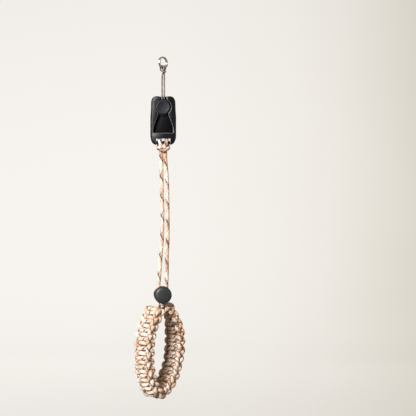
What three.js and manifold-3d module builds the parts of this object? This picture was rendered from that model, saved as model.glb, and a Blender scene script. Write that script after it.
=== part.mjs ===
// Camera wrist strap: a ring and thin anchor cord, a quick-release link, two cord legs, a spring
// cord lock and a knotted wrist loop. Millimetres, +Z up. The origin is the inside top of the ring,
// where the strap hangs, and the wrist goes through the loop along Y.
import * as THREE from 'three';
import { mergeVertices } from 'three/addons/utils/BufferGeometryUtils.js';
import Module from 'manifold-3d';

const wasm = await Module();
wasm.setup();

const GAP = 0.3;
const OVERCUT = 1;
const ROUND_SIDES = 28;

// Ring: one flat wire in two turns round an axis along Y
const RING_INNER_RADIUS = 4.5;
const RING_WIRE_RADIAL = 1.4;
const RING_WIRE_AXIAL = 0.85;
const RING_PITCH = 0.95;
const RING_TURNS = 2;
const RING_END_ANGLE = 150;
const RING_STEPS_PER_TURN = 20;

// Anchor: thin cord loop and moulded disc
const ANCHOR_CORD = 1.5;
const ANCHOR_SPREAD = 1.05;
const DISC_RADIUS = 7.1;
const DISC_FLANGE_RADIUS = 8.2;
const DISC_Z = -46.9;
const DISC_BACK = -0.9;
const DISC_SINK = 0.5;
const DISC_CHAMFER = 0.6;
const DISC_DISH_RADIUS = 5;
const DISC_DISH_DEPTH = 0.2;
const STEM_HALF_WIDTH = 2.3;
const STEM_LENGTH = 0.9;
const ANCHOR_DEPTH = -1.9;

// Quick-release link, turned about Z, with its front at -depth/2
const LINK_TURN = -44;
const LINK_DEPTH = 9.4;
const LINK_HALF_WIDTH = 12.2;
const LINK_TOP = -36.6;
const LINK_BOTTOM = -82.4;
const LINK_END_FLAT = 6;
const LINK_TOP_CORNER = 7.4;
const LINK_BOTTOM_CORNER = 9.4;
const LINK_TOP_INSET = 0.6;
const LINK_WAIST_Z = -60;
const LINK_EDGE_ROUND = 1.1;
const LIP_THICKNESS = 2.1;
const POCKET_FLOOR = 1.7;
const SEAT_RADIUS = 7.5;
const NECK_HALF_WIDTH = 4.8;
const NECK_LENGTH = 3;
const WINDOW_HALF_WIDTH = 9.9;
const WINDOW_BOTTOM = -71.5;
const WINDOW_CORNER = 1.8;
const WINDOW_FLARE = 7.5;
const TOP_SLOT_HALF_WIDTH = 3.6;
const TOP_SLOT_FLOOR = -0.3;
const STRAP_SLOT_TOP = -74.3;
const STRAP_SLOT_HALF_WIDTH = 6.6;
const SLOT_LIP_THICKNESS = 0.7;
const SLOT_LIP_BOTTOM = -76.9;
const BAR_Z = -80.4;
const BAR_DEPTH = 1;
const BAR_RADIUS = 1.6;
const BAR_SIDES = 12;
const TONGUE_THICKNESS = 0.9;
const TONGUE_HALF_WIDTH = 8.2;
const TONGUE_FOOT = 3.5;

// Strap cord and cord lock: the lock is turned about Z and its cap faces -Y before the turn
const STRAP_CORD = 3.7;
const CORD_HOLE = STRAP_CORD / 2 + GAP;
const CORD_HOLE_SIDES = 16;
const LOCK_TURN = -42;
const LOCK_ACROSS = -0.6;
const LOCK_Z = -224.7;
const LOCK_TRAVEL = 3.5;
const LOCK_CORD_OFFSET = 3.7;
const CAP_RADIUS = 8.25;
const CAP_THICKNESS = 4;
const CAP_DOME_RADIUS = 5;
const CAP_BEVEL = 1.6;
const LOCK_CHAMFER = 0.6;
const BARREL_RADIUS = 8.2;
const BARREL_WALL = 1.7;
const BARREL_FRONT = -3.2;
const BARREL_FLOOR = 1.6;
const STEM_BACK_WALL = 1.25;

// Wrist loop: a pointed oval of knotted band that leans about the lock's underside
const LOOP_HALF_WIDTH = 20.6;
const LOOP_HALF_HEIGHT = 42;
const LOOP_MIDDLE_Z = -275.6;
const LOOP_TAPER = 0.18;
const LOOP_LEFT_END = 30;
const LOOP_RIGHT_END = 24;
const LOOP_LEAN = 6.5;
const LOOP_LEAN_Z = -232;
const BRAID_WIDTH = 20.5;
const BRAID_THICKNESS = 11;
const NARROW_SHARE = 0.4;
const NARROW_LENGTH = 28;
const HALF_KNOTS = 44;
const STATIONS_PER_HALF_KNOT = 4;
const SECTION_POINTS = 14;
const BAR_RELIEF = 0.14;
const EDGE_RELIEF = 0.1;
const BAR_SLANT = 0.3;
const EDGE_START = 0.6;

// Half of a girth hitch, from the standing strand to the middle of its collar.
// Columns: across, depth and rise from the bar's middle, for a bar along X with its front at -Y.
const STRAP_HITCH = [
  [1.95, -0.6, -10.5],
  [1.95, -1.4, -6.2],
  [2.3, -2.6, -2.9],
  [2.9, -3.8, 0],
  [3.05, -2.75, 2.75],
  [3.1, 0, 3.9],
  [3.3, 2.75, 2.75],
  [3.8, 3.85, 0],
  [4.7, 2.9, -3.0],
  [5.65, -0.2, -5.0],
  [5.4, -3.6, -5.4],
  [3.1, -5.5, -5.5],
  [0, -5.7, -5.5],
];
const ANCHOR_HITCH = [
  [0.84, -0.4, -6.5],
  [0.84, -0.6, -3.9],
  [1.0, -1.5, -1.55],
  [1.2, -2.1, 0],
  [1.25, -1.5, 1.5],
  [1.3, 0, 2.1],
  [1.4, 1.5, 1.5],
  [1.6, 2.1, 0],
  [1.95, 1.6, -1.7],
  [2.4, -0.1, -3.2],
  [2.3, -1.5, -3.6],
  [1.3, -2.3, -3.7],
  [0, -2.4, -3.7],
];

// The anchor cord's strands down to the disc. Columns: z, depth and turn about Z.
const ANCHOR_RUN = [
  [-18.4, -0.4, -20],
  [-21, -0.6, -36],
  [-25, -0.9, LINK_TURN],
  [-34.5, -1.7, LINK_TURN],
];

// The two hanging legs. Columns: z, left and right offset along a line that turns from the
// link's width to the lock's.
const LEGS = [
  [-98, -1.8, 2.15],
  [-114, -1.5, 3.5],
  [-133, -1.05, 4.0],
  [-153, -0.7, 4.25],
  [-172, -1.15, 4.2],
  [-190, -2.5, 3.45],
  [-206, -3.6, 3.5],
];
const LOCK_RUN = [-213, -217, -224.7, -230.5, -232.8];
const BRAID_ENTRY = 3;

function material(color, roughness, metalness = 0) {
  return new THREE.MeshStandardMaterial({ color, roughness, metalness });
}

function part(name, geometry, look) {
  const mesh = new THREE.Mesh(geometry, look);
  mesh.name = name;
  return mesh;
}

function solidOf(geometry) {
  const plain = geometry.clone();
  plain.deleteAttribute('normal');
  plain.deleteAttribute('uv');
  const merged = mergeVertices(plain, 1e-4);
  return new wasm.Manifold(new wasm.Mesh({
    numProp: 3,
    vertProperties: new Float32Array(merged.attributes.position.array),
    triVerts: new Uint32Array(merged.index.array),
  }));
}

function geometryOf(solid) {
  const mesh = solid.getMesh();
  const geometry = new THREE.BufferGeometry();
  geometry.setAttribute('position', new THREE.BufferAttribute(new Float32Array(mesh.vertProperties), 3));
  geometry.setIndex(new THREE.BufferAttribute(new Uint32Array(mesh.triVerts), 1));
  return geometry;
}

function cut(base, tools) {
  return tools.reduce((solid, tool) => solid.subtract(solidOf(tool)), solidOf(base));
}

function box(x0, x1, y0, y1, z0, z1) {
  const geometry = new THREE.BoxGeometry(x1 - x0, y1 - y0, z1 - z0);
  geometry.translate((x0 + x1) / 2, (y0 + y1) / 2, (z0 + z1) / 2);
  return geometry;
}

// Extrudes an outline drawn in X and Z from the depth y0 to the depth y1
function slab(shape, y0, y1, bevel = 0) {
  const geometry = new THREE.ExtrudeGeometry(shape, {
    depth: y1 - y0 - 2 * bevel,
    bevelEnabled: bevel > 0,
    bevelThickness: bevel,
    bevelSize: bevel,
    bevelOffset: -bevel,
    bevelSegments: 3,
    curveSegments: 10,
  });
  geometry.rotateX(Math.PI / 2);
  geometry.translate(0, y1 - bevel, 0);
  return geometry;
}

// Turns an outline of radius and depth rows about Y
function lathe(outline) {
  return new THREE.LatheGeometry(outline.map(([r, y]) => new THREE.Vector2(r, y)), ROUND_SIDES);
}

function polygon(radius, sides) {
  const corners = [];
  for (let i = 0; i < sides; i += 1) {
    const angle = (2 * Math.PI * i) / sides;
    corners.push(new THREE.Vector2(radius * Math.cos(angle), radius * Math.sin(angle)));
  }
  return new THREE.Shape(corners);
}

function turned([x, y, z], degrees) {
  const angle = THREE.MathUtils.degToRad(degrees);
  return new THREE.Vector3(
    x * Math.cos(angle) - y * Math.sin(angle),
    x * Math.sin(angle) + y * Math.cos(angle),
    z,
  );
}

// A curve through route points that takes the same number of steps between each two of them
class RouteCurve extends THREE.CatmullRomCurve3 {
  getUtoTmapping(u) {
    return u;
  }
}

function cordTube(points, diameter, sides, stepsPerSpan) {
  const curve = new RouteCurve(points, false, 'centripetal');
  return new THREE.ExtrudeGeometry(polygon(diameter / 2, sides), {
    steps: (points.length - 1) * stepsPerSpan,
    extrudePath: curve,
    bevelEnabled: false,
  });
}

// The whole hitch, from the left standing strand to the right one
function hitchPoints(halfHitch, barDepth, barZ, degrees) {
  const right = halfHitch.map(([x, y, z]) => [x, y + barDepth, z + barZ]);
  const left = right.slice(0, -1).map(([x, y, z]) => [-x, y, z]);
  return [...left, ...right.reverse()].map((point) => turned(point, degrees));
}

class RingCoil extends THREE.Curve {
  getPoint(t) {
    const radius = RING_INNER_RADIUS + RING_WIRE_RADIAL / 2;
    const angle = THREE.MathUtils.degToRad(RING_END_ANGLE) + 2 * Math.PI * RING_TURNS * t;
    const firstBottom = (270 - RING_END_ANGLE) / (360 * RING_TURNS);
    const middle = firstBottom + 0.5 - 0.5 / RING_TURNS;
    return new THREE.Vector3(
      radius * Math.cos(angle),
      RING_PITCH * RING_TURNS * (t - middle),
      radius * Math.sin(angle) - RING_INNER_RADIUS,
    );
  }
}

function lugRing() {
  const a = RING_WIRE_AXIAL / 2;
  const r = RING_WIRE_RADIAL / 2;
  const corners = [[a, -r / 2], [a, r / 2], [0, r], [-a, r / 2], [-a, -r / 2], [0, -r]];
  const section = new THREE.Shape(corners.map(([x, y]) => new THREE.Vector2(x, y)));
  const geometry = new THREE.ExtrudeGeometry(section, {
    steps: RING_STEPS_PER_TURN * RING_TURNS,
    extrudePath: new RingCoil(),
    bevelEnabled: false,
  });
  return part('lug_ring', geometry, material(0xc9c9c6, 0.25, 1));
}

function anchorCord() {
  const ringBarZ = -2 * RING_INNER_RADIUS - RING_WIRE_RADIAL / 2;
  const hitch = hitchPoints(ANCHOR_HITCH, 0, ringBarZ, 0);
  const endZ = DISC_Z + DISC_RADIUS + STEM_LENGTH + GAP;
  const run = [...ANCHOR_RUN, [endZ, ANCHOR_DEPTH, LINK_TURN]];
  const strand = (side) => run.map(
    ([z, depth, degrees]) => turned([side * ANCHOR_SPREAD, depth, z], degrees),
  );
  const points = [...strand(-1).reverse(), ...hitch, ...strand(1)];
  return part('anchor_cord', cordTube(points, ANCHOR_CORD, 8, 2), material(0x6a6460, 0.7));
}

function anchorDisc() {
  const front = -LINK_DEPTH / 2 + DISC_SINK;
  const dish = front + DISC_DISH_DEPTH;
  const flangeFront = -LINK_DEPTH / 2 + LIP_THICKNESS + GAP;
  const disc = lathe([
    [0, dish],
    [DISC_DISH_RADIUS - DISC_DISH_DEPTH, dish],
    [DISC_DISH_RADIUS, front],
    [DISC_RADIUS - DISC_CHAMFER, front],
    [DISC_RADIUS, front + DISC_CHAMFER],
    [DISC_RADIUS, flangeFront],
    [DISC_FLANGE_RADIUS, flangeFront],
    [DISC_FLANGE_RADIUS, DISC_BACK],
    [0, DISC_BACK],
  ]);
  disc.translate(0, 0, DISC_Z);
  const stemFront = ANCHOR_DEPTH - ANCHOR_CORD / 2 - GAP;
  const stemTop = DISC_Z + DISC_RADIUS + STEM_LENGTH;
  const stem = box(-STEM_HALF_WIDTH, STEM_HALF_WIDTH, stemFront, DISC_BACK, DISC_Z, stemTop);
  return part('anchor_disc', geometryOf(solidOf(disc).add(solidOf(stem))), material(0x2f3235, 0.55));
}

function housingOutline() {
  const shape = new THREE.Shape();
  const low = LINK_HALF_WIDTH;
  const high = LINK_HALF_WIDTH - LINK_TOP_INSET;
  const lowZ = LINK_BOTTOM + LINK_BOTTOM_CORNER;
  const highZ = LINK_TOP - LINK_TOP_CORNER;
  const bendZ = (LINK_WAIST_Z + highZ) / 2;
  shape.moveTo(-LINK_END_FLAT, LINK_BOTTOM);
  shape.lineTo(LINK_END_FLAT, LINK_BOTTOM);
  shape.quadraticCurveTo(low, LINK_BOTTOM, low, lowZ);
  shape.lineTo(low, LINK_WAIST_Z);
  shape.bezierCurveTo(low, bendZ, high, bendZ, high, highZ);
  shape.quadraticCurveTo(high, LINK_TOP, LINK_END_FLAT, LINK_TOP);
  shape.lineTo(-LINK_END_FLAT, LINK_TOP);
  shape.quadraticCurveTo(-high, LINK_TOP, -high, highZ);
  shape.bezierCurveTo(-high, bendZ, -low, bendZ, -low, LINK_WAIST_Z);
  shape.lineTo(-low, lowZ);
  shape.quadraticCurveTo(-low, LINK_BOTTOM, -LINK_END_FLAT, LINK_BOTTOM);
  return shape;
}

// The keyhole in the front lips: top slot, round seat, neck and flared window
function keyholeOutline() {
  const shape = new THREE.Shape();
  const slotAngle = Math.acos(TOP_SLOT_HALF_WIDTH / SEAT_RADIUS);
  const neckAngle = -Math.acos(NECK_HALF_WIDTH / SEAT_RADIUS);
  const neck = NECK_HALF_WIDTH;
  const neckZ = DISC_Z + SEAT_RADIUS * Math.sin(neckAngle);
  const window = WINDOW_HALF_WIDTH;
  const cornerZ = WINDOW_BOTTOM + WINDOW_CORNER;
  const flare = window - WINDOW_CORNER / 2;
  const flareZ = cornerZ + WINDOW_FLARE;
  const slotTop = LINK_TOP + OVERCUT;
  shape.moveTo(-TOP_SLOT_HALF_WIDTH, slotTop);
  shape.absarc(0, DISC_Z, SEAT_RADIUS, Math.PI - slotAngle, Math.PI - neckAngle, false);
  shape.bezierCurveTo(-neck, neckZ - NECK_LENGTH, -flare, flareZ, -window, cornerZ);
  shape.quadraticCurveTo(-window, WINDOW_BOTTOM, WINDOW_CORNER - window, WINDOW_BOTTOM);
  shape.lineTo(window - WINDOW_CORNER, WINDOW_BOTTOM);
  shape.quadraticCurveTo(window, WINDOW_BOTTOM, window, cornerZ);
  shape.bezierCurveTo(flare, flareZ, neck, neckZ - NECK_LENGTH, neck, neckZ);
  shape.absarc(0, DISC_Z, SEAT_RADIUS, neckAngle, slotAngle, false);
  shape.lineTo(TOP_SLOT_HALF_WIDTH, slotTop);
  return shape;
}

// The channel under the lips, wide enough for the disc's flange
function channelOutline() {
  const shape = new THREE.Shape();
  const radius = DISC_FLANGE_RADIUS + GAP;
  shape.moveTo(-WINDOW_HALF_WIDTH, WINDOW_BOTTOM);
  shape.lineTo(WINDOW_HALF_WIDTH, WINDOW_BOTTOM);
  shape.lineTo(radius, DISC_Z);
  shape.absarc(0, DISC_Z, radius, 0, Math.PI, false);
  shape.lineTo(-WINDOW_HALF_WIDTH, WINDOW_BOTTOM);
  return shape;
}

function linkHousing() {
  const front = -LINK_DEPTH / 2;
  const near = front - OVERCUT;
  const lipBack = front + LIP_THICKNESS;
  const slot = STRAP_SLOT_HALF_WIDTH;
  const slotBottom = LINK_BOTTOM - OVERCUT;
  const slotLip = front + SLOT_LIP_THICKNESS;
  const tools = [
    slab(keyholeOutline(), near, lipBack + OVERCUT),
    slab(channelOutline(), lipBack, POCKET_FLOOR),
    box(-TOP_SLOT_HALF_WIDTH, TOP_SLOT_HALF_WIDTH, near, TOP_SLOT_FLOOR, DISC_Z, LINK_TOP + OVERCUT),
    box(-slot, slot, near, -near, slotBottom, SLOT_LIP_BOTTOM),
    box(-slot, slot, slotLip, -near, SLOT_LIP_BOTTOM - OVERCUT, STRAP_SLOT_TOP),
  ];
  const barLength = 2 * (slot + OVERCUT);
  const bar = new THREE.CylinderGeometry(BAR_RADIUS, BAR_RADIUS, barLength, BAR_SIDES);
  bar.rotateZ(Math.PI / 2);
  bar.translate(0, BAR_DEPTH, BAR_Z);
  const shell = cut(slab(housingOutline(), front, -front, LINK_EDGE_ROUND), tools);
  return part('link_housing', geometryOf(shell.add(solidOf(bar))), material(0x3a3d40, 0.6));
}

function linkTongue() {
  const half = TONGUE_HALF_WIDTH;
  const front = DISC_BACK + GAP;
  const bottom = WINDOW_BOTTOM + GAP;
  const leaf = box(-half, half, front, front + TONGUE_THICKNESS, bottom, DISC_Z);
  const foot = box(-half, half, front, POCKET_FLOOR - GAP, bottom, bottom + TONGUE_FOOT);
  return part('link_tongue', geometryOf(solidOf(leaf).add(solidOf(foot))), material(0x16171a, 0.5));
}

// A point of the loop's middle line at an angle from the top: side -1 is left, 1 is right
function loopPoint(angle, side) {
  const x = side * LOOP_HALF_WIDTH * Math.sin(angle) * (1 - LOOP_TAPER * Math.cos(angle) ** 2);
  const z = LOOP_MIDDLE_Z + LOOP_HALF_HEIGHT * Math.cos(angle) - LOOP_LEAN_Z;
  const lean = THREE.MathUtils.degToRad(LOOP_LEAN);
  return new THREE.Vector3(
    x * Math.cos(lean) + z * Math.sin(lean),
    0,
    LOOP_LEAN_Z + z * Math.cos(lean) - x * Math.sin(lean),
  );
}

// The loop's middle line, from the left end round the bottom to the right end
class LoopCurve extends THREE.Curve {
  getPoint(t) {
    const start = THREE.MathUtils.degToRad(LOOP_LEFT_END) - Math.PI;
    const end = Math.PI - THREE.MathUtils.degToRad(LOOP_RIGHT_END);
    const turn = THREE.MathUtils.lerp(start, end, t);
    return loopPoint(Math.PI - Math.abs(turn), Math.sign(turn));
  }
}

function strapCord() {
  const loop = new LoopCurve();
  const hitch = hitchPoints(STRAP_HITCH, BAR_DEPTH, BAR_Z, LINK_TURN);
  const legTop = LEGS[0][0];
  const legBottom = LEGS[LEGS.length - 1][0];
  const leg = (column, side) => [
    ...LEGS.map((row) => {
      const share = (row[0] - legTop) / (legBottom - legTop);
      return turned([row[column], 0, row[0]], LINK_TURN + share * (LOCK_TURN - LINK_TURN));
    }),
    ...LOCK_RUN.map((z) => turned([LOCK_ACROSS + side * LOCK_CORD_OFFSET, 0, z], LOCK_TURN)),
  ];
  const entry = (end, away) => [GAP, BRAID_ENTRY].map(
    (distance) => loop.getPointAt(end).addScaledVector(loop.getTangentAt(end), away * distance),
  );
  const left = [...leg(1, -1), ...entry(0, -1).reverse()];
  const right = [...leg(2, 1), ...entry(1, 1).reverse()];
  const points = [...left.reverse(), ...hitch, ...right];
  return part('strap_cord', cordTube(points, STRAP_CORD, 10, 2), material(0xe3c8ac, 0.8));
}

function lockBarrel() {
  const bore = BARREL_RADIUS - BARREL_WALL;
  const floor = CORD_HOLE + STEM_BACK_WALL + LOCK_TRAVEL + GAP;
  const back = floor + BARREL_FLOOR;
  const cup = lathe([
    [0, floor],
    [bore, floor],
    [bore, BARREL_FRONT],
    [BARREL_RADIUS - LOCK_CHAMFER, BARREL_FRONT],
    [BARREL_RADIUS, BARREL_FRONT + LOCK_CHAMFER],
    [BARREL_RADIUS, back - 2 * LOCK_CHAMFER],
    [BARREL_RADIUS - 2 * LOCK_CHAMFER, back],
    [0, back],
  ]);
  const holes = [-1, 1].map((side) => {
    const hole = new THREE.CylinderGeometry(CORD_HOLE, CORD_HOLE, 3 * BARREL_RADIUS, CORD_HOLE_SIDES);
    hole.rotateX(Math.PI / 2);
    hole.translate(side * LOCK_CORD_OFFSET, 0, 0);
    return hole;
  });
  return part('lock_barrel', geometryOf(cut(cup, holes)), material(0x17181a, 0.45));
}

function lockButton() {
  const capBack = BARREL_FRONT - LOCK_TRAVEL - GAP;
  const capFront = capBack - CAP_THICKNESS;
  const stem = BARREL_RADIUS - BARREL_WALL - GAP;
  const stemBack = CORD_HOLE + STEM_BACK_WALL;
  const body = lathe([
    [0, capFront],
    [CAP_DOME_RADIUS, capFront + CAP_BEVEL / 8],
    [CAP_RADIUS - CAP_BEVEL, capFront + CAP_BEVEL / 3],
    [CAP_RADIUS - CAP_BEVEL / 3, capFront + CAP_BEVEL * 0.8],
    [CAP_RADIUS, capFront + CAP_BEVEL * 1.4],
    [CAP_RADIUS, capBack - LOCK_CHAMFER],
    [CAP_RADIUS - LOCK_CHAMFER, capBack],
    [stem, capBack],
    [stem, stemBack],
    [0, stemBack],
  ]);
  const inner = LOCK_CORD_OFFSET - CORD_HOLE;
  const notchFront = -CORD_HOLE - LOCK_TRAVEL;
  const notches = [
    box(-CAP_RADIUS, -inner, notchFront, CORD_HOLE, -CAP_RADIUS, CAP_RADIUS),
    box(inner, CAP_RADIUS, notchFront, CORD_HOLE, -CAP_RADIUS, CAP_RADIUS),
  ];
  return part('lock_button', geometryOf(cut(body, notches)), material(0x2b2d2f, 0.5));
}

// Height of the knots' bars on a face, 0 in a valley and 1 on a crest.
// station counts half-knots along the band, across runs from -1 to 1.
function barCrest(station, across) {
  const nearest = Math.floor(station);
  let crest = 0;
  for (let bar = nearest - 1; bar <= nearest + 1; bar += 1) {
    const slant = (bar % 2 === 0 ? 1 : -1) * BAR_SLANT * across;
    const away = Math.abs(station - bar - 0.5 - slant);
    crest = Math.max(crest, away < 0.5 ? Math.cos(Math.PI * away) : 0);
  }
  return crest;
}

// Height of the bumps along an edge, one for every two half-knots
function edgeCrest(station, phase) {
  return 0.5 + 0.5 * Math.cos(Math.PI * (station - phase));
}

// One cross section of the band as points across its width and out of the loop
function braidSection(station) {
  const section = [];
  for (let i = 0; i < SECTION_POINTS; i += 1) {
    const angle = (2 * Math.PI * (i + 0.5)) / SECTION_POINTS;
    const c = Math.sign(Math.cos(angle)) * Math.sqrt(Math.abs(Math.cos(angle)));
    const s = Math.sign(Math.sin(angle)) * Math.sqrt(Math.abs(Math.sin(angle)));
    const edge = edgeCrest(station, c * s > 0 ? 0 : 1);
    const edgeShare = Math.max(0, (Math.abs(c) - EDGE_START) / (1 - EDGE_START));
    const face = 1 - BAR_RELIEF * (1 - barCrest(station, c)) * (1 - edgeShare);
    const side = 1 - EDGE_RELIEF * (1 - edge) * edgeShare;
    section.push([(BRAID_WIDTH / 2) * c * side, (BRAID_THICKNESS / 2) * s * face * side]);
  }
  return section;
}

// Share of the band's full width at a distance from its right end, where it narrows under the lock
function widthShare(distance) {
  return THREE.MathUtils.lerp(NARROW_SHARE, 1, THREE.MathUtils.smoothstep(distance, 0, NARROW_LENGTH));
}

// Joins rings of points into one closed solid with flat ends
function loft(rings) {
  const count = rings[0].length;
  const last = (rings.length - 1) * count;
  const positions = rings.flat().flatMap((point) => [point.x, point.y, point.z]);
  const index = [];
  for (let ring = 0; ring < rings.length - 1; ring += 1) {
    for (let i = 0; i < count; i += 1) {
      const a = ring * count + i;
      const b = ring * count + ((i + 1) % count);
      index.push(a, a + count, b, b, a + count, b + count);
    }
  }
  for (let i = 1; i < count - 1; i += 1) {
    index.push(0, i, i + 1, last, last + i + 1, last + i);
  }
  const geometry = new THREE.BufferGeometry();
  geometry.setAttribute('position', new THREE.Float32BufferAttribute(positions, 3));
  geometry.setIndex(index);
  return geometry;
}

function wristBraid() {
  const loop = new LoopCurve();
  const length = loop.getLength();
  const stations = HALF_KNOTS * STATIONS_PER_HALF_KNOT;
  const rings = [];
  for (let i = 0; i <= stations; i += 1) {
    const middle = loop.getPointAt(i / stations);
    const tangent = loop.getTangentAt(i / stations);
    const outward = new THREE.Vector3(tangent.z, 0, -tangent.x);
    const share = widthShare(length * (1 - i / stations));
    const section = braidSection(i / STATIONS_PER_HALF_KNOT);
    rings.push(section.map(([across, out]) => new THREE.Vector3(
      middle.x + out * outward.x,
      across * share,
      middle.z + out * outward.z,
    )));
  }
  return part('wrist_braid', loft(rings), material(0xdcbd9f, 0.85));
}

function turnedGroup(degrees, across, z, meshes) {
  const group = new THREE.Group();
  group.rotation.z = THREE.MathUtils.degToRad(degrees);
  group.position.copy(turned([across, 0, z], degrees));
  group.add(...meshes);
  return group;
}

const strap = new THREE.Group();
strap.add(
  lugRing(),
  anchorCord(),
  turnedGroup(LINK_TURN, 0, 0, [anchorDisc(), linkHousing(), linkTongue()]),
  strapCord(),
  turnedGroup(LOCK_TURN, LOCK_ACROSS, LOCK_Z, [lockBarrel(), lockButton()]),
  wristBraid(),
);

export default strap;
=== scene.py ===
import math

import bpy
import numpy as np
from mathutils.kdtree import KDTree
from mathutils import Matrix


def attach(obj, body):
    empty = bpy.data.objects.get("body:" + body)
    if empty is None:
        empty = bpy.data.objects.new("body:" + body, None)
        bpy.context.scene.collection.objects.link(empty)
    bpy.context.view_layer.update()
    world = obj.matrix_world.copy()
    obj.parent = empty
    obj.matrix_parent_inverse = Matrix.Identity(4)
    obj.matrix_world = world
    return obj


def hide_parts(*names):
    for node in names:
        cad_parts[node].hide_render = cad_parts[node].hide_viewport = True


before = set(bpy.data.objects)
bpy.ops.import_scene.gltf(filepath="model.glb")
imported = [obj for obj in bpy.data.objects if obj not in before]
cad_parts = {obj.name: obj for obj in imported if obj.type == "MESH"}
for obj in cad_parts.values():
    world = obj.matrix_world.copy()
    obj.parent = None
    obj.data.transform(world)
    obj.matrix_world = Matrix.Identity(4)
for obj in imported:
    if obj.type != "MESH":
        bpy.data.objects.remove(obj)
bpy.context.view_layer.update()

# Camera: its place, its level line of sight turned about Z, and its lens
CAMERA_PLACE = (-0.850, -0.848, -0.1425)
CAMERA_TURN = -47.1
CAMERA_LENS = 109.3
CAMERA_SENSOR = 36.0

# Ring: one flat wire in two turns. Its bluntness is the power that squares the wire's section.
RING_INNER_RADIUS = 0.0045
RING_WIRE_RADIAL = 0.0014
RING_WIRE_AXIAL = 0.00085
RING_PITCH = 0.00095
RING_TURNS = 2
RING_END_ANGLE = 150
RING_BOTTOM_ANGLE = 270
RING_STEPS = 64
RING_WIRE_SIDES = 14
RING_BLUNTNESS = 0.55
RING_UV_LENGTH = 10

# Anchor cord, from the ring to the disc. Its end has z and depth.
ANCHOR_CORD = 0.0015
ANCHOR_SIDES = 12
ANCHOR_STEP = 0.0004
ANCHOR_SPREAD = 0.00105
ANCHOR_END = (-0.0386, -0.0019)
ANCHOR_BAR_Z = -0.0097

# Link and lock: turns about Z, the strap bar's place, and where the cords run through the lock
LINK_TURN = -44
BAR_Z = -0.0804
BAR_DEPTH = 0.001
LOCK_TURN = -42
LOCK_ACROSS = -0.0006
LOCK_CORD_OFFSET = 0.0037

# Strap cord, and how its ends stand off the band and run into it
STRAP_CORD = 0.0037
STRAP_SIDES = 18
STRAP_STEP = 0.0007
BRAID_GAP = 0.0003
BRAID_ENTRY = 0.003

# Wrist loop: a pointed oval that leans about a point under the lock. Its ends are angles from its top.
LOOP_HALF_WIDTH = 0.0206
LOOP_HALF_HEIGHT = 0.042
LOOP_MIDDLE_Z = -0.2756
LOOP_TAPER = 0.18
LOOP_LEFT_END = 30
LOOP_RIGHT_END = 24
LOOP_LEAN = 6.5
LOOP_LEAN_Z = -0.232
LOOP_SAMPLES = 1600

# How the band narrows towards its right end: the share of its width there, and over what length
NARROW_SHARE = 0.4
NARROW_LENGTH = 0.028

# Knotted band: half-knots, where they start and end, counted inwards from the band's ends, the pitch
# that their table was made for, and their cord
HALF_KNOTS = 43
KNOT_START = 0.0036
KNOT_END = -0.0012
KNOT_PITCH = 0.00409
KNOT_CORD = 0.0039
KNOT_SIDES = 12
KNOT_STEP = 0.0007
KNOT_ACROSS = 0.95
# How far half-knots draw together in pairs, and over how many this fades out at each end
PAIR_SHIFT = 0.0003
PAIR_EASE = 3
# Seed and spread of the half-knots' own shifts along, across and out
KNOT_SEED = 11
KNOT_SHIFTS = (0.00026, 0.0003, 0.00017)
# The two core strands
CORE_CORD = 0.0034
CORE_SIDES = 10
CORE_ACROSS = 0.00175
CORE_POINTS = 90
# How the band's inside is squeezed where the loop bends to about this radius
FOLD_RADIUS = 0.012
FOLD_SQUEEZE = 0.45
FOLD_FROM = 0.6

# Half of a girth hitch, from the standing strand to the middle of its collar.
# Columns: across, depth and rise from the bar's middle, for a bar along X with its front at -Y.
STRAP_HITCH = [
    (0.00195, -0.0006, -0.0105),
    (0.00195, -0.0014, -0.0062),
    (0.0023, -0.0026, -0.0029),
    (0.0029, -0.0038, 0.0),
    (0.00305, -0.00275, 0.00275),
    (0.0031, 0.0, 0.0039),
    (0.0033, 0.00275, 0.00275),
    (0.0038, 0.00385, 0.0),
    (0.0043, 0.003, -0.0029),
    (0.0048, 0.0002, -0.0046),
    (0.0044, -0.0033, -0.0056),
    (0.0024, -0.0055, -0.0066),
    (0.0, -0.0061, -0.007),
]
ANCHOR_HITCH = [
    (0.00102, -0.0004, -0.0053),
    (0.00094, -0.0006, -0.0037),
    (0.001, -0.0015, -0.00155),
    (0.0012, -0.0021, 0.0),
    (0.00125, -0.0015, 0.0015),
    (0.0013, 0.0, 0.0021),
    (0.0014, 0.0015, 0.0015),
    (0.0016, 0.0021, 0.0),
    (0.0017, 0.0016, -0.0017),
    (0.0018, -0.0001, -0.0029),
    (0.0017, -0.0014, -0.0032),
    (0.0009, -0.0022, -0.0035),
    (0.0, -0.0024, -0.0036),
]

# The anchor cord's strands down to the disc. Columns: z, depth and turn about Z.
ANCHOR_RUN = [
    (-0.0166, -0.0004, -24),
    (-0.0186, -0.0005, -38),
    (-0.0225, -0.0008, LINK_TURN),
    (-0.0345, -0.0017, LINK_TURN),
]

# The two hanging legs. Columns: z, left and right offset along a line that turns from the link's
# width to the lock's.
LEGS = [
    (-0.098, -0.0018, 0.00215),
    (-0.114, -0.0015, 0.0035),
    (-0.133, -0.00105, 0.0040),
    (-0.153, -0.0007, 0.00425),
    (-0.172, -0.00115, 0.0042),
    (-0.190, -0.0025, 0.00345),
    (-0.206, -0.0036, 0.0035),
]
# Heights at which both legs run straight through the lock
LOCK_RUN = [-0.213, -0.217, -0.2247, -0.2303]

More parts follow.
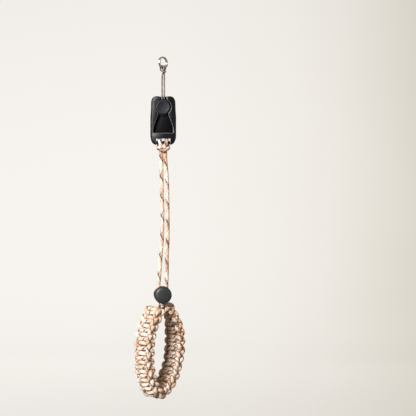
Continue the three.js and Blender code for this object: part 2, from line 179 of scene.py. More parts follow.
# One half-knot of the band's front strand, which crosses the outer face and turns round the edge.
# Columns: along the band, across it and out of the loop. The next half-knot has across mirrored.
KNOT_PATH = [
    (0.00085, -0.00747, -0.00255),
    (0.00102, -0.00590, -0.00135),
    (0.00021, -0.00514, 0.00029),
    (-0.00042, -0.00444, 0.00205),
    (-0.00071, -0.00287, 0.00323),
    (-0.00093, -0.00090, 0.00353),
    (-0.00115, 0.00112, 0.00352),
    (-0.00138, 0.00311, 0.00323),
    (-0.00163, 0.00501, 0.00259),
    (-0.00173, 0.00661, 0.00140),
    (-0.00103, 0.00785, -0.00001),
    (0.00012, 0.00881, -0.00137),
    (0.00167, 0.00929, -0.00252),
    (0.00353, 0.00880, -0.00300),
]
# How the front and back strands join at the left end. Columns as above.
KNOT_JOIN = [
    (-0.0009, -0.0086, -0.0027),
    (-0.0030, -0.0082, -0.0030),
    (-0.0044, -0.0065, -0.0031),
]
# First row of KNOT_PATH that the joining bar follows, behind the core
JOIN_FROM = 4
# How the cord's two ends cross under the lock. Columns as above, along from the band's right end.
BACK_TAIL = [
    (0.0042, -0.0076, 0.0012),
    (0.0062, -0.0062, -0.0016),
    (0.0068, -0.0030, -0.0035),
    (0.0069, 0.0010, -0.0055),
    (0.0063, 0.0050, -0.0077),
    (0.0050, 0.0075, -0.0101),
    (0.0027, 0.0085, -0.0127),
]
FRONT_TAIL = [
    (0.0026, 0.0074, -0.0058),
    (0.0004, 0.0040, -0.0080),
    (0.0014, -0.0005, -0.0078),
    (0.0024, -0.0055, -0.0058),
    (0.0026, -0.0088, -0.0022),
]

# Routes and tubes: samples between two points, a first side that no cord starts along, and the
# angles of the domed ends
CURVE_SAMPLES = 16
FIRST_SIDE = (0.31, 0.87, 0.38)
DOME_ANGLES = (88, 60, 30)

# Painted shade where strands of the band touch: the mesh attribute, how far it reaches, the brown it
# darkens them to, and its range.
# A strand within so many radii along the cord is the same turn.
TOUCH_NAME = "touch"
TOUCH_REACH = 0.0008
TOUCH_PAINTED_SHADE = (0.7, 0.4, 0.22, 1.0)
TOUCH_RANGE = (0.1, 0.9)
SAME_TURN = 3

# Braided sheaths: carriers each way, dark tracers, the length of one turn, and the threads' height
STRAP_CARRIERS = 16
STRAP_TRACERS = 2
STRAP_SHEATH_TURN = 0.0187
STRAP_SHEATH_PHASE = -0.25
STRAP_RELIEF = 0.00025
BAND_SHEATH_TURN = 0.0092
ANCHOR_CARRIERS = 8
ANCHOR_TRACERS = 0
ANCHOR_SHEATH_TURN = 0.006
ANCHOR_RELIEF = 0.0001
# Their threads: crossings in one repeat, roundness, share of the hump, and where the painted shade in
# their hollows ends
BRAID_REPEAT = 4.0
THREAD_ROUNDNESS = 0.6
THREAD_HUMP = 0.55
HOLLOW_SHADE_END = 0.6
# Their broad fading
FADE_SCALE = 90.0
FADE_RANGE = (0.44, 0.78)

# Plastics. Columns: base, worn and edge colour (a painted highlight, on the lock a painted shade) as
# display values, roughness, gloss, the grain's scale and height, and the radius to which the faces look
# crowned.
PLASTICS = {
    "link plastic": ((8, 9, 12), (14, 16, 20), (108, 110, 114), 0.4, 0.25, 2600.0, 0.00003, 0.04),
    "disc plastic": ((15, 18, 22), (24, 27, 32), (30, 33, 38), 0.5, 0.3, 1500.0, 0.0001, None),
    "tongue plastic": ((4, 4, 5), (8, 8, 10), (8, 8, 10), 0.5, 0.13, 2400.0, 0.00003, None),
    "lock plastic": ((40, 43, 43), (50, 52, 52), (24, 25, 25), 0.42, 0.4, 1800.0, 0.00005, None),
}
# How far their edges look rounded, and the cosines of the normal's turn from an edge to a flat face,
# over which the painted edge highlight or shade fades out
EDGE_ROUNDING = 0.001
EDGE_SAMPLES = 8
EDGE_RANGE = (0.93, 0.997)
# Their grain and broad wear
GRAIN_DETAIL = 3.0
GRAIN_STRENGTH = 0.6
WEAR_SCALE = 160.0
WEAR_DETAIL = 4.0
WEAR_RANGE = (0.45, 0.8)
ROUGHNESS_SPREAD = 0.18

# Moulded CAD nodes. Columns: node, plastic and width of its rounded edges.
MOULDINGS = [
    ("link_housing", "link plastic", 0.0005),
    ("anchor_disc", "disc plastic", 0.0002),
    ("link_tongue", "tongue plastic", 0.0002),
    ("lock_barrel", "lock plastic", 0.00025),
    ("lock_button", "lock plastic", 0.00012),
]
# Their facets: the distance that joins points, and the angles in degrees of flat faces, of edges
# that are rounded and of edges that stay sharp
WELD_DISTANCE = 0.000002
FLAT_ANGLE = 1
ROUNDED_ANGLE = 38
ROUNDED_SEGMENTS = 2
SHARP_ANGLE = 32

# Steel: how far scratches add to its roughness, its least, and how they stretch along the wire
STEEL_ROUGHNESS = (0.16, 0.22)
SCRATCH_STRETCH = (60.0, 3.0, 1.0)
SCRATCH_SCALE = 6.0
SCRATCH_DETAIL = 4.0
SCRATCH_DEPTH = 0.00002
SCRATCH_STRENGTH = 0.5

# Cove: a round floor, the curve up to its wall, and the radii of the flat part's first rings
COVE_FLOOR = -0.47
COVE_RADIUS = 2.9
COVE_CURVE = 1.1
COVE_HEIGHT = 2.6
COVE_FLAT_RADII = (0.02, 0.8)
COVE_SIDES = 96
COVE_STEPS = 17
# Its glow's colour, painted light: the direction in which it darkens as painted shade, the share for each
# metre and at the origin, the uneven part of the share, and the display colours along it
GLOW_SHADE_ACROSS = (0.595, -0.809, 0)
GLOW_SHADE_SPREAD = 0.6
GLOW_SHADE_START = 0.63
CLOUD_SCALE = 1.2
CLOUD_SHARE = 0.1
GLOW_COLOUR_STOPS = [
    (0.16, (251, 248, 243)),
    (0.4, (251, 248, 243)),
    (0.52, (249, 246, 241)),
    (0.65, (246, 242, 236)),
    (0.74, (242, 238, 231)),
    (0.84, (231, 227, 217)),
    (0.92, (222, 216, 206)),
]
PAINT_BASE = (60, 59, 57)
# Its glow, which is painted light: how it changes for each metre, its level at the origin and its least
GLOW_CHANGE = (0.063, 0.058, -0.111)
GLOW_LEVEL = 0.708
GLOW_LEAST = 0.82

# Lights, all aimed at one point. Columns: name, place, size, power and tint.
LIGHT_TARGET = (0, 0, -0.16)
LIGHTS = [
    ("key", (-1.46, -0.345, 0.45), 0.6, 47, (0.97, 1.0, 1.05)),
    ("fill", (0.5, -1.5, 0.3), 1.2, 4.0, (1.0, 0.92, 0.84)),
    ("back", (0.9, 1.2, 0.3), 1.0, 10.0, (1.0, 0.95, 0.89)),
]
WORLD_TINT = (1.0, 0.82, 0.64, 1.0)
WORLD_STRENGTH = 0.22

# Ends of the masks
WHITE = (1, 1, 1, 1)
BLACK = (0, 0, 0, 1)


def turned(points, degrees):
    """Rows of x, y and z turned about Z."""
    angle = math.radians(degrees)
    p = np.asarray(points, float)
    return np.stack([
        p[..., 0] * math.cos(angle) - p[..., 1] * math.sin(angle),
        p[..., 0] * math.sin(angle) + p[..., 1] * math.cos(angle),
        p[..., 2],
    ], -1)


def distance_along(path):
    """How far each point is from the path's start, measured along it."""
    return np.concatenate([[0], np.cumsum(np.linalg.norm(np.diff(path, axis=0), axis=1))])


def even_steps(path, step):
    """The path again, with points an even distance apart."""
    arc = distance_along(path)
    at = np.linspace(0, arc[-1], max(3, round(arc[-1] / step) + 1))
    return np.stack([np.interp(at, arc, path[:, i]) for i in range(3)], 1)


def smooth_route(points, step):
    """A centripetal curve through the points, in even steps."""
    p = np.asarray(points, float)
    p = np.vstack([2 * p[0] - p[1], p, 2 * p[-1] - p[-2]])
    knots = np.concatenate([[0], np.cumsum(np.linalg.norm(np.diff(p, axis=0), axis=1) ** 0.5)])
    spans = []
    for i in range(1, len(p) - 2):
        t0, t1, t2, t3 = knots[i - 1:i + 3]
        t = np.linspace(t1, t2, CURVE_SAMPLES, endpoint=False)[:, None]
        a = (t1 - t) / (t1 - t0) * p[i - 1] + (t - t0) / (t1 - t0) * p[i]
        b = (t2 - t) / (t2 - t1) * p[i] + (t - t1) / (t2 - t1) * p[i + 1]
        c = (t3 - t) / (t3 - t2) * p[i + 1] + (t - t2) / (t3 - t2) * p[i + 2]
        ab = (t2 - t) / (t2 - t0) * a + (t - t0) / (t2 - t0) * b
        bc = (t3 - t) / (t3 - t1) * b + (t - t1) / (t3 - t1) * c
        spans.append((t2 - t) / (t2 - t1) * ab + (t - t1) / (t2 - t1) * bc)
    return even_steps(np.vstack([*spans, p[-2][None]]), step)


def frames_along(path):
    """Two directions square to the path at each point, turning as little as they can."""
    tangent = np.gradient(path, axis=0)
    tangent /= np.linalg.norm(tangent, axis=1)[:, None]
    side = np.cross(tangent[0], FIRST_SIDE)
    sides = []
    for direction in tangent:
        side = side - direction * side.dot(direction)
        side = side / np.linalg.norm(side)
        sides.append(side)
    sides = np.array(sides)
    return sides, np.cross(tangent, sides), tangent


class Shape:
    """Vertices, faces and UVs that are gathered before they become one mesh."""

    def __init__(self):
        self.vertices = []
        self.faces = []
        self.uvs = []

    def rings(self, points, along, closed_ends=True):
        """Joins rings of points. along gives each ring's second UV coordinate."""
        count = points.shape[1]
        first = len(self.vertices)
        self.vertices.extend(points.reshape(-1, 3).tolist())
        for j in range(len(points) - 1):
            for i in range(count):
                n = (i + 1) % count
                a = first + j * count
                self.faces.append((a + i, a + n, a + count + n, a + count + i))
                u0, u1 = i / count, (i + 1) / count
                self.uvs.extend([(u0, along[j]), (u1, along[j]), (u1, along[j + 1]), (u0, along[j + 1])])
        if closed_ends:
            last = first + (len(points) - 1) * count
            self.faces.append(tuple(range(first + count - 1, first - 1, -1)))
            self.faces.append(tuple(range(last, last + count)))
            self.uvs.extend([(0.5, along[0])] * count + [(0.5, along[-1])] * count)

    def tube(self, path, radius, sides, sheath_turn, phase=0.0):
        """A round cord along the path, with domed ends. phase starts the sheath part of a turn on."""
        side, up, tangent = frames_along(path)
        angle = 2 * math.pi * np.arange(sides) / sides
        dome = np.radians(DOME_ANGLES)
        head = path[0] - tangent[0] * radius * np.sin(dome)[:, None]
        tail = path[-1] + tangent[-1] * radius * np.sin(dome[::-1])[:, None]
        middle = np.vstack([head, path, tail])
        size = np.concatenate([np.cos(dome), np.ones(len(path)), np.cos(dome[::-1])]) * radius
        side, up = (
            np.vstack([rows[:1]] * len(dome) + [rows] + [rows[-1:]] * len(dome)) for rows in (side, up)
        )
        spoke = np.cos(angle)[None, :, None] * side[:, None] + np.sin(angle)[None, :, None] * up[:, None]
        along = distance_along(middle) / sheath_turn + phase
        self.rings(middle[:, None] + spoke * size[:, None, None], along)

    def touching(self, path, radius, reach):
        """How near each vertex is to another turn of the path's cord: 1 at its surface, 0 past reach."""
        tree = KDTree(len(path))
        for index, point in enumerate(path):
            tree.insert(point, index)
        tree.balance()
        arc = distance_along(path)
        shares = []
        for vertex in self.vertices:
            near = tree.find_range(vertex, radius + reach)
            own = min(near, key=lambda found: found[2])[1] if near else 0
            gaps = [gap for _, index, gap in near if abs(arc[index] - arc[own]) > SAME_TURN * radius]
            shares.append(min(1.0, max(0.0, 1 - (min(gaps) - radius) / reach)) if gaps else 0.0)
        return shares

    def piece(self, name, material, body, slot, *nodes):
        """Makes the mesh, which rides on the body and stands for the CAD nodes."""
        mesh = bpy.data.meshes.new(name)
        mesh.from_pydata(self.vertices, [], self.faces)
        mesh.uv_layers.new(name="sheath").data.foreach_set("uv", np.ravel(self.uvs))
        mesh.shade_smooth()
        mesh.materials.append(material)
        obj = bpy.data.objects.new(name, mesh)
        bpy.context.scene.collection.objects.link(obj)
        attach(obj, body)
        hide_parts(*nodes)
        return obj


class Graph:
    """A material's node tree with short calls for the nodes used here."""

    def __init__(self, name):
        self.material = bpy.data.materials.new(name)
        self.material.use_nodes = True
        self.tree = self.material.node_tree
        self.shader = self.tree.nodes["Principled BSDF"]

    def feed(self, socket, value):
        if isinstance(value, bpy.types.NodeSocket):
            self.tree.links.new(value, socket)
        else:
            socket.default_value = value

    def node(self, kind, inputs, **settings):
        made = self.tree.nodes.new(kind)
        for key, value in settings.items():
            setattr(made, key, value)
        for socket, value in inputs.items():
            self.feed(made.inputs[socket], value)
        return made

    def math(self, operation, *values):
        return self.node("ShaderNodeMath", dict(enumerate(values)), operation=operation).outputs[0]

    def vector(self, operation, *values):
        return self.node("ShaderNodeVectorMath", dict(enumerate(values)), operation=operation).outputs[0]

    def dot(self, a, b):
        return self.node("ShaderNodeVectorMath", {0: a, 1: b}, operation="DOT_PRODUCT").outputs["Value"]

    def mix(self, share, a, b):
        return self.node("ShaderNodeMix", {0: share, 6: a, 7: b}, data_type="RGBA").outputs[2]

    def multiply(self, a, b):
        inputs = {0: 1.0, 6: a, 7: b}
        return self.node("ShaderNodeMix", inputs, data_type="RGBA", blend_type="MULTIPLY").outputs[2]

    def noise(self, vector, scale, detail=2.0):
        inputs = {"Vector": vector, "Scale": scale, "Detail": detail}
        return self.node("ShaderNodeTexNoise", inputs).outputs["Fac"]

    def ramp(self, share, stops, interpolation="LINEAR"):
        stops = list(stops)
        made = self.node("ShaderNodeValToRGB", {0: share})
        made.color_ramp.interpolation = interpolation
        elements = made.color_ramp.elements
        while len(elements) < len(stops):
            elements.new(0.5)
        for element, (place, colour) in zip(elements, stops):
            element.position = place
            element.color = colour
        return made.outputs[0]

    def bump(self, height, distance, strength=1.0, normal=None):
        inputs = {"Height": height, "Distance": distance, "Strength": strength}
        made = self.node("ShaderNodeBump", inputs)
        if normal:
            self.feed(made.inputs["Normal"], normal)
        self.feed(self.shader.inputs["Normal"], made.outputs[0])

    def set(self, **values):
        for name, value in values.items():
            self.feed(self.shader.inputs[name.replace("_", " ")], value)


def colour(red, green, blue):
    """A linear colour from 0 to 255 display values."""
    def linear(value):
        share = value / 255
        return share / 12.92 if share <= 0.04045 else ((share + 0.055) / 1.055) ** 2.4
    return (linear(red), linear(green), linear(blue), 1.0)


def sheath_material(name, carriers, floats, threads, fade_and_hollow_shade, relief):
    """A braided sheath, two over and two under. The first winding's first carriers float over three.
    threads has the colour stops of each winding's carriers, and the colour after them tints the broad
    fading and is the painted shade in the hollows between threads."""
    g = Graph(name)
    place = g.node("ShaderNodeSeparateXYZ", {0: g.node("ShaderNodeUVMap", {}).outputs[0]})
    u, v = place.outputs[0], place.outputs[1]
    one = g.math("MULTIPLY", g.math("ADD", u, v), carriers)
    two = g.math("MULTIPLY", g.math("SUBTRACT", u, v), carriers)
    one_index, two_index = g.math("FLOOR", one), g.math("FLOOR", two)
    one_part, two_part = g.math("FRACT", one), g.math("FRACT", two)
    turn = g.math("FLOORED_MODULO", g.math("ADD", one_index, two_index), BRAID_REPEAT)
    tracer = g.math("LESS_THAN", g.math("FLOORED_MODULO", one_index, float(carriers)), floats - 0.5)
    one_over = g.math("LESS_THAN", turn, g.math("ADD", tracer, 1.5))

    def crest(across, along, start):
        """Height of a thread: round across, and a hump along its two crossings."""
        crossing = g.math("ADD", g.math("SUBTRACT", turn, start), along)
        hump = g.math("SINE", g.math("MULTIPLY", crossing, math.pi / 2))
        round_top = g.math("POWER", g.math("SINE", g.math("MULTIPLY", across, math.pi)), THREAD_ROUNDNESS)
        return g.math("MULTIPLY", round_top, g.math("MULTIPLY_ADD", hump, THREAD_HUMP, 1 - THREAD_HUMP))

    height = g.node("ShaderNodeMix", {
        0: one_over, 2: crest(two_part, one_part, BRAID_REPEAT / 2), 3: crest(one_part, two_part, 0.0),
    }, data_type="FLOAT").outputs[0]

    def thread(index, stops):
        """A thread's colour from its carrier's number."""
        carrier = g.math("FLOORED_MODULO", index, float(carriers))
        return g.ramp(g.math("DIVIDE", g.math("ADD", carrier, 0.5), float(carriers)), stops, "CONSTANT")

    base = g.mix(one_over, thread(two_index, threads[1]), thread(one_index, threads[0]))
    where = g.node("ShaderNodeTexCoord", {}).outputs["Object"]
    fade = g.ramp(g.noise(where, FADE_SCALE), zip(FADE_RANGE, (WHITE, fade_and_hollow_shade)))
    # Painted shade: the hollows between threads are darkened towards that colour.
    painted_hollow_shade = g.ramp(height, [(0.0, fade_and_hollow_shade), (HOLLOW_SHADE_END, WHITE)])
    # Painted shade: strands are darkened to a warm brown where they touch another turn of the cord.
    crease_shade_mask = g.node("ShaderNodeAttribute", {}, attribute_name=TOUCH_NAME).outputs["Fac"]
    painted_crease_shade = g.ramp(crease_shade_mask, zip(TOUCH_RANGE, (WHITE, TOUCH_PAINTED_SHADE)))
    base = g.multiply(g.multiply(g.multiply(base, fade), painted_hollow_shade), painted_crease_shade)
    g.set(Base_Color=base, Roughness=0.75, Specular_IOR_Level=0.25)
    g.set(Sheen_Weight=0.15, Sheen_Roughness=0.5)
    g.bump(height, relief)
    return g.material


def crowned(g, where, normal, radius):
    """The normal, leaning outwards across the link as on a face that is crowned to the radius."""
    across = tuple(turned((1, 0, 0), LINK_TURN))
    lean = g.math("DIVIDE", g.dot(where, across), radius)
    return g.vector("NORMALIZE", g.vector("ADD", normal, g.vector("MULTIPLY", across, lean)))


def plastic_material(name, base, worn, edge, roughness, gloss, grain, relief, crown):
    """Moulded plastic: fine grain, uneven gloss, a little paler wear, and edges painted lighter as a
    highlight or, on the lock, darker as shade.
    """
    g = Graph(name)
    where = g.node("ShaderNodeTexCoord", {}).outputs["Object"]
    fine = g.noise(where, grain, GRAIN_DETAIL)
    broad = g.noise(where, WEAR_SCALE, WEAR_DETAIL)
    rounded = g.node("ShaderNodeBevel", {"Radius": EDGE_ROUNDING}, samples=EDGE_SAMPLES).outputs[0]
    flat = g.node("ShaderNodeNewGeometry", {}).outputs["Normal"]
    # Painted highlight on the rounded edges, painted shade on the lock's: the edges take the edge colour.
    painted_edge_mask = g.ramp(g.dot(rounded, flat), zip(EDGE_RANGE, (WHITE, BLACK)))
    faded = g.mix(g.ramp(broad, zip(WEAR_RANGE, (BLACK, WHITE))), colour(*base), colour(*worn))
    g.set(
        Base_Color=g.mix(painted_edge_mask, faded, colour(*edge)),
        Roughness=g.math("MULTIPLY_ADD", broad, ROUGHNESS_SPREAD, roughness - ROUGHNESS_SPREAD / 2),
        Specular_IOR_Level=gloss,
    )
    g.bump(fine, relief, GRAIN_STRENGTH, crowned(g, where, rounded, crown) if crown else rounded)
    return g.material


def steel_material():
    """Drawn steel wire, with fine scratches along it."""
    g = Graph("ring steel")
    place = g.node("ShaderNodeUVMap", {}).outputs[0]
    stretched = g.node("ShaderNodeMapping", {"Vector": place, "Scale": SCRATCH_STRETCH}).outputs[0]
    scratch = g.noise(stretched, SCRATCH_SCALE, SCRATCH_DETAIL)
    g.set(
        Base_Color=g.mix(scratch, colour(168, 166, 160), colour(214, 213, 208)),
        Metallic=1.0,
        Roughness=g.math("MULTIPLY_ADD", scratch, *STEEL_ROUGHNESS),
    )
    g.bump(scratch, SCRATCH_DEPTH, SCRATCH_STRENGTH)
    return g.material


def wall_material():
    """Pale, uneven glow of the cove: painted light that darkens to the right, to the front and upwards as
    painted shade.
    """
    g = Graph("cove glow")
    where = g.node("ShaderNodeTexCoord", {}).outputs["Object"]
    cloud = g.math("MULTIPLY", g.noise(where, CLOUD_SCALE), CLOUD_SHARE)
    across = g.math("MULTIPLY_ADD", g.dot(where, GLOW_SHADE_ACROSS), GLOW_SHADE_SPREAD, GLOW_SHADE_START)
    glow_colour = g.ramp(g.math("ADD", across, cloud), [(share, colour(*tone)) for share, tone in GLOW_COLOUR_STOPS])
    glow = g.math("ADD", g.dot(where, GLOW_CHANGE), GLOW_LEVEL)
    g.set(Base_Color=colour(*PAINT_BASE), Roughness=0.95, Specular_IOR_Level=0.0)
    g.set(Emission_Color=glow_colour, Emission_Strength=g.math("MAXIMUM", glow, GLOW_LEAST))
    return g.material


def shade_by_angle():
    """A node group that merges facets into smooth faces and keeps the sharp edges."""
    group = bpy.data.node_groups.new("shade by angle", "GeometryNodeTree")
    group.interface.new_socket("Geometry", in_out="INPUT", socket_type="NodeSocketGeometry")
    group.interface.new_socket("Geometry", in_out="OUTPUT", socket_type="NodeSocketGeometry")
    start = group.nodes.new("NodeGroupInput")
    end = group.nodes.new("NodeGroupOutput")
    plain = group.nodes.new("GeometryNodeRemoveAttribute")
    plain.inputs["Name"].default_value = "custom_normal"
    faces = group.nodes.new("GeometryNodeSetShadeSmooth")
    edges = group.nodes.new("GeometryNodeSetShadeSmooth")
    edges.domain = "EDGE"
    angle = group.nodes.new("GeometryNodeInputMeshEdgeAngle")
    below = group.nodes.new("FunctionNodeCompare")
    below.operation = "LESS_THAN"
    below.inputs[1].default_value = math.radians(SHARP_ANGLE)
    links = group.links
    links.new(start.outputs[0], plain.inputs["Geometry"])
    links.new(plain.outputs["Geometry"], faces.inputs["Geometry"])
    links.new(faces.outputs["Geometry"], edges.inputs["Geometry"])
    links.new(angle.outputs["Unsigned Angle"], below.inputs[0])
    links.new(below.outputs["Result"], edges.inputs["Shade Smooth"])
    links.new(edges.outputs["Geometry"], end.inputs[0])
    return group


def finish_moulding(node, material, group, edge):
    """Gives a CAD node its material, rounded edges and smooth faces."""
    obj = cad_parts[node]
    obj.data.materials.clear()
    obj.data.materials.append(material)
    obj.modifiers.new("join facets", "WELD").merge_threshold = WELD_DISTANCE
    flat = obj.modifiers.new("flat faces", "DECIMATE")
    flat.decimate_type = "DISSOLVE"
    flat.angle_limit = math.radians(FLAT_ANGLE)
    rounding = obj.modifiers.new("rounded edges", "BEVEL")
    rounding.width = edge
    rounding.segments = ROUNDED_SEGMENTS
    rounding.limit_method = "ANGLE"
    rounding.angle_limit = math.radians(ROUNDED_ANGLE)
    obj.modifiers.new("triangles", "TRIANGULATE")
    obj.modifiers.new("smooth faces", "NODES").node_group = group


def hitch_points(half, bar_depth, bar_z, degrees):
    """The whole hitch, from the left standing strand to the right one."""
    right = np.asarray(half) + (0, bar_depth, bar_z)
    left = right[:-1] * (-1, 1, 1)
    return turned(np.vstack([left, right[::-1]]), degrees)


class Loop:
    """The wrist loop's middle line, from the left end round the bottom to the right end."""

    def __init__(self):
        turn = np.linspace(
            math.radians(LOOP_LEFT_END) - math.pi, math.pi - math.radians(LOOP_RIGHT_END), LOOP_SAMPLES,
        )
        angle = math.pi - np.abs(turn)
        x = np.sign(turn) * LOOP_HALF_WIDTH * np.sin(angle) * (1 - LOOP_TAPER * np.cos(angle) ** 2)
        z = LOOP_MIDDLE_Z + LOOP_HALF_HEIGHT * np.cos(angle) - LOOP_LEAN_Z
        lean = math.radians(LOOP_LEAN)
        self.middle = np.stack([
            x * math.cos(lean) + z * math.sin(lean),
            np.zeros_like(x),
            LOOP_LEAN_Z + z * math.cos(lean) - x * math.sin(lean),
        ], 1)
        self.arc = distance_along(self.middle)
        self.length = self.arc[-1]
        tangent = np.gradient(self.middle, self.arc, axis=0)
        self.tangent = tangent / np.linalg.norm(tangent, axis=1)[:, None]
        self.bend = np.linalg.norm(np.gradient(self.tangent, self.arc, axis=0), axis=1)

    def width_share(self, along):
        """Share of the band's full width, which narrows towards the right end."""
        rise = np.clip((self.length - along) / NARROW_LENGTH, 0, 1)
        return NARROW_SHARE + (1 - NARROW_SHARE) * rise * rise * (3 - 2 * rise)

    def place(self, rows):
        """Points from rows of along, across and out, past the ends too."""
        along, across, out = np.asarray(rows, float).T
        held = np.clip(along, 0, self.length)
        middle = np.stack([np.interp(held, self.arc, self.middle[:, i]) for i in range(3)], 1)
        tangent = np.stack([np.interp(held, self.arc, self.tangent[:, i]) for i in range(3)], 1)
        bend = np.interp(held, self.arc, self.bend)
        squeeze = 1 - FOLD_SQUEEZE * np.clip(bend * FOLD_RADIUS - FOLD_FROM, 0, 1) * (out < 0)
        outward = np.stack([tangent[:, 2], np.zeros(len(along)), -tangent[:, 0]], 1)
        points = middle + tangent * (along - held)[:, None] + outward * (out * squeeze)[:, None]
        return points + np.outer(across * self.width_share(along), (0, 1, 0))


def anchor_route():
    """Points of the anchor cord from the disc up round the ring and back."""
    run = [*ANCHOR_RUN, (*ANCHOR_END, LINK_TURN)]
    def strand(side):
        return np.array([turned((side * ANCHOR_SPREAD, depth, z), degrees) for z, depth, degrees in run])
    return np.vstack([strand(-1)[::-1], hitch_points(ANCHOR_HITCH, 0, ANCHOR_BAR_Z, 0), strand(1)])


def strap_route(loop):
    """Points of the strap cord from the left end of the band up round the link's bar and back."""
    top, bottom = LEGS[0][0], LEGS[-1][0]
    def leg(column, side):
        points = []
        for row in LEGS:
            share = (row[0] - top) / (bottom - top)
            points.append(turned((row[column], 0, row[0]), LINK_TURN + share * (LOCK_TURN - LINK_TURN)))
        across = LOCK_ACROSS + side * LOCK_CORD_OFFSET
        points.extend(turned((across, 0, z), LOCK_TURN) for z in LOCK_RUN)
        return np.array(points)
    inside = 2 * BRAID_ENTRY
    left = loop.place([
        (inside, -CORE_ACROSS, 0),
        (BRAID_ENTRY, -CORE_ACROSS / 2, 0),
        (-BRAID_GAP, 0, 0),
        (-BRAID_ENTRY, 0, 0),
    ])
    right = loop.place([
        (loop.length + BRAID_ENTRY, 0, 0),
        (loop.length + BRAID_GAP, 0, 0),
        (loop.length - BRAID_ENTRY, CORE_ACROSS / 2, 0),
        (loop.length - inside, CORE_ACROSS, 0),
    ])
    hitch = hitch_points(STRAP_HITCH, BAR_DEPTH, BAR_Z, LINK_TURN)
    return np.vstack([left, leg(1, -1)[::-1], hitch, leg(2, 1), right])


def knot_rows(index, rows, pitch, wobble):
    """One half-knot of the front strand as rows of along, across and out."""
    p = np.array(rows, float)
    side = -1 if index % 2 else 1
    p[:, 0] = KNOT_START + index * pitch + p[:, 0] * pitch / KNOT_PITCH
    p[:, 1] *= side * KNOT_ACROSS
    ease = min(index, HALF_KNOTS - index) / PAIR_EASE
    p[:, 0] -= side * PAIR_SHIFT * min(max(ease, 0), 1)
    if wobble is not None:
        p += wobble
    return p


def band_strands(loop):
    """The one working cord: front strand from right to left, the joining bar, then the back strand."""
    chance = np.random.default_rng(KNOT_SEED)
    pitch = (loop.length - KNOT_START - KNOT_END) / HALF_KNOTS
    def strand():
        knots = []
        for index in range(HALF_KNOTS):
            wobble = chance.normal(0, 1, 3) * KNOT_SHIFTS
            knots.append(knot_rows(index, KNOT_PATH, pitch, wobble))
        return np.vstack([*knots, knot_rows(HALF_KNOTS, KNOT_PATH[:1], pitch, None)])
    front = strand()
    back = strand() * (1, -1, -1)
    join = np.array(KNOT_JOIN) * (pitch / KNOT_PITCH, KNOT_ACROSS, 1) + (KNOT_START, 0, 0)
    bar = knot_rows(-1, KNOT_PATH[JOIN_FROM:], pitch, None) * (1, -1, -1)
    end = (loop.length, 0, 0)
    front_tail = np.array(FRONT_TAIL[::-1]) + end
    back_tail = np.array(BACK_TAIL) + end
    return np.vstack([front_tail, front[::-1], join, bar, back, back_tail])


def make_camera():
    """The camera that sees what the photo shows, and the plain view transform."""
    data = bpy.data.cameras.new("camera")
    data.lens = CAMERA_LENS
    data.sensor_width = CAMERA_SENSOR
    camera = bpy.data.objects.new("camera", data)
    camera.location = CAMERA_PLACE
    camera.rotation_euler = (math.radians(90), 0, math.radians(CAMERA_TURN))
    bpy.context.scene.collection.objects.link(camera)
    bpy.context.scene.camera = camera
    bpy.context.scene.view_settings.view_transform = "Standard"


def cord_materials():
    """The sheaths of the band, of the strap cord and of the anchor cord."""
    cream, peach = colour(247, 237, 222), colour(234, 202, 170)
    tan, ink = colour(180, 124, 90), colour(8, 7, 7)
    # After each sheath's thread stops: the colour of its broad fading and of the painted shade in the
    # hollows between threads.
    band = sheath_material("paracord sheath", STRAP_CARRIERS, STRAP_TRACERS, [
        [(0.0, ink), (0.125, tan), (0.19, peach), (0.26, cream), (0.75, peach), (0.82, cream)],
        [(0.0, cream), (0.5, peach), (0.57, cream), (0.88, tan), (0.95, peach)],
    ], colour(218, 180, 146), STRAP_RELIEF)
    # The legs' sheath is a darker copy of the band's for the same cord, with more tan and a darker shade:
    # painted shade.
    legs = sheath_material("paracord leg sheath", STRAP_CARRIERS, STRAP_TRACERS, [
        [(0.0, ink), (0.125, tan), (0.22, peach), (0.29, cream), (0.72, peach), (0.82, cream)],
        [(0.0, cream), (0.46, peach), (0.57, cream), (0.82, tan), (0.95, peach)],
    ], colour(206, 166, 132), STRAP_RELIEF)
    taupe, dark = colour(150, 134, 122), colour(70, 64, 62)
    anchor = sheath_material("anchor sheath", ANCHOR_CARRIERS, ANCHOR_TRACERS, [
        [(0.0, taupe), (0.6, dark), (0.75, taupe)],
        [(0.0, taupe), (0.8, dark)],
    ], colour(150, 140, 132), ANCHOR_RELIEF)
    return band, legs, anchor


def make_cords(loop, legs, anchor):
    """The anchor cord and the strap cord."""
    path = smooth_route(anchor_route(), ANCHOR_STEP)
    shape = Shape()
    shape.tube(path, ANCHOR_CORD / 2, ANCHOR_SIDES, ANCHOR_SHEATH_TURN)
    cord = shape.piece("anchor_cord_braided", anchor, "strap", "anchor_cord", "anchor_cord")
    path = smooth_route(strap_route(loop), STRAP_STEP)
    shape = Shape()
    shape.tube(path, STRAP_CORD / 2, STRAP_SIDES, STRAP_SHEATH_TURN, STRAP_SHEATH_PHASE)
    cord = shape.piece("strap_cord_braided", legs, "strap", "paracord", "strap_cord")


def make_band(loop, sheath):
    """The knotted wrist band: one working cord round two core strands."""
    shape = Shape()
    path = smooth_route(loop.place(band_strands(loop)), KNOT_STEP)
    shape.tube(path, KNOT_CORD / 2, KNOT_SIDES, BAND_SHEATH_TURN)
    # How near each vertex comes to another turn: the mask of the painted shade in the band's creases.
    touch = shape.touching(path, KNOT_CORD / 2, TOUCH_REACH)
    along = np.linspace(2 * BRAID_ENTRY, loop.length - 2 * BRAID_ENTRY, CORE_POINTS)
    for side in (-1, 1):
        across = np.full(CORE_POINTS, side * CORE_ACROSS)
        core = loop.place(np.stack([along, across, np.zeros(CORE_POINTS)], 1))
        shape.tube(core, CORE_CORD / 2, CORE_SIDES, BAND_SHEATH_TURN)
    band = shape.piece("wrist_band_knotted", sheath, "strap", "paracord", "wrist_braid")
    touch += [1.0] * (len(shape.vertices) - len(touch))
    band.data.attributes.new(TOUCH_NAME, "FLOAT", "POINT").data.foreach_set("value", touch)


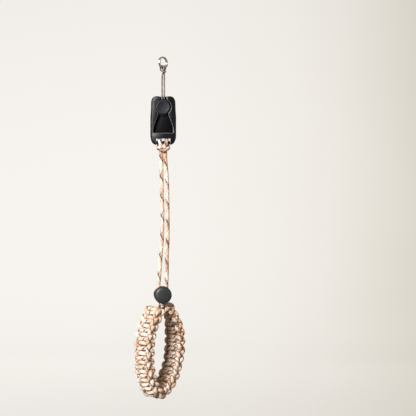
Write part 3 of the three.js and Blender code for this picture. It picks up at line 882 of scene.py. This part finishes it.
def make_ring():
    """The split ring: a rounded flat wire in two turns."""
    radius = RING_INNER_RADIUS + RING_WIRE_RADIAL / 2
    share = np.linspace(0, 1, RING_STEPS * RING_TURNS + 1)
    angle = math.radians(RING_END_ANGLE) + 2 * math.pi * RING_TURNS * share
    middle = (RING_BOTTOM_ANGLE - RING_END_ANGLE) / (360 * RING_TURNS) + 0.5 - 0.5 / RING_TURNS
    round_angle = 2 * math.pi * np.arange(RING_WIRE_SIDES) / RING_WIRE_SIDES
    def blunt(value):
        return np.sign(value) * np.abs(value) ** RING_BLUNTNESS
    radial = RING_WIRE_RADIAL / 2 * blunt(np.cos(round_angle))
    axial = RING_WIRE_AXIAL / 2 * blunt(np.sin(round_angle))
    reach = radius + radial[None]
    points = np.stack([
        reach * np.cos(angle)[:, None],
        RING_PITCH * RING_TURNS * (share - middle)[:, None] - axial[None],
        reach * np.sin(angle)[:, None] - RING_INNER_RADIUS,
    ], 2)
    shape = Shape()
    shape.rings(points, share * RING_UV_LENGTH)
    shape.piece("split_ring", steel_material(), "strap", "steel", "lug_ring")


def make_mouldings():
    """Gives the moulded CAD nodes their plastics and rounded edges."""
    group = shade_by_angle()
    plastics = {name: plastic_material(name, *look) for name, look in PLASTICS.items()}
    for node, plastic, edge in MOULDINGS:
        finish_moulding(node, plastics[plastic], group, edge)


def make_cove():
    """A round pale floor that curves up into a wall on all sides."""
    bend = np.radians(np.linspace(0, 90, COVE_STEPS))
    curve_reach = COVE_RADIUS - COVE_CURVE + COVE_CURVE * np.sin(bend)
    curve_rise = COVE_FLOOR + COVE_CURVE * (1 - np.cos(bend))
    flat_rise = np.full(len(COVE_FLAT_RADII), COVE_FLOOR)
    reach = np.concatenate([COVE_FLAT_RADII, curve_reach, [COVE_RADIUS]])
    rise = np.concatenate([flat_rise, curve_rise, [COVE_FLOOR + COVE_HEIGHT]])
    angle = 2 * math.pi * np.arange(COVE_SIDES) / COVE_SIDES
    points = np.stack([
        reach[:, None] * np.cos(angle)[None],
        reach[:, None] * np.sin(angle)[None],
        np.repeat(rise[:, None], COVE_SIDES, 1),
    ], 2)
    shape = Shape()
    shape.rings(points, np.linspace(0, 1, len(reach)), closed_ends=False)
    shape.faces.append(tuple(range(COVE_SIDES - 1, -1, -1)))
    mesh = bpy.data.meshes.new("cove")
    mesh.from_pydata(shape.vertices, [], shape.faces)
    mesh.shade_smooth()
    mesh.materials.append(wall_material())
    cove = bpy.data.objects.new("cove", mesh)
    bpy.context.scene.collection.objects.link(cove)
    # The cove's glow is painted light: it lights no part and shows in no reflection.
    cove.visible_diffuse = False
    cove.visible_glossy = False


def area_light(name, place, size, power, tint):
    """A round lamp that points at the lights' target."""
    data = bpy.data.lights.new(name, "AREA")
    data.shape = "DISK"
    data.size = size
    data.energy = power
    data.color = tint
    light = bpy.data.objects.new(name, data)
    light.location = place
    direction = np.subtract(LIGHT_TARGET, place)
    light.rotation_euler = (
        math.atan2(math.hypot(direction[0], direction[1]), -direction[2]),
        0,
        math.atan2(direction[1], direction[0]) - math.pi / 2,
    )
    bpy.context.scene.collection.objects.link(light)


def make_lights():
    """The lamps and the warm light from all round."""
    for light in LIGHTS:
        area_light(*light)
    world = bpy.data.worlds.new("studio")
    world.use_nodes = True
    background = world.node_tree.nodes["Background"]
    background.inputs["Color"].default_value = WORLD_TINT
    background.inputs["Strength"].default_value = WORLD_STRENGTH
    bpy.context.scene.world = world


make_camera()
wrist_loop = Loop()
band_look, leg_look, anchor_look = cord_materials()
make_cords(wrist_loop, leg_look, anchor_look)
make_band(wrist_loop, band_look)
make_ring()
make_mouldings()
make_cove()
make_lights()
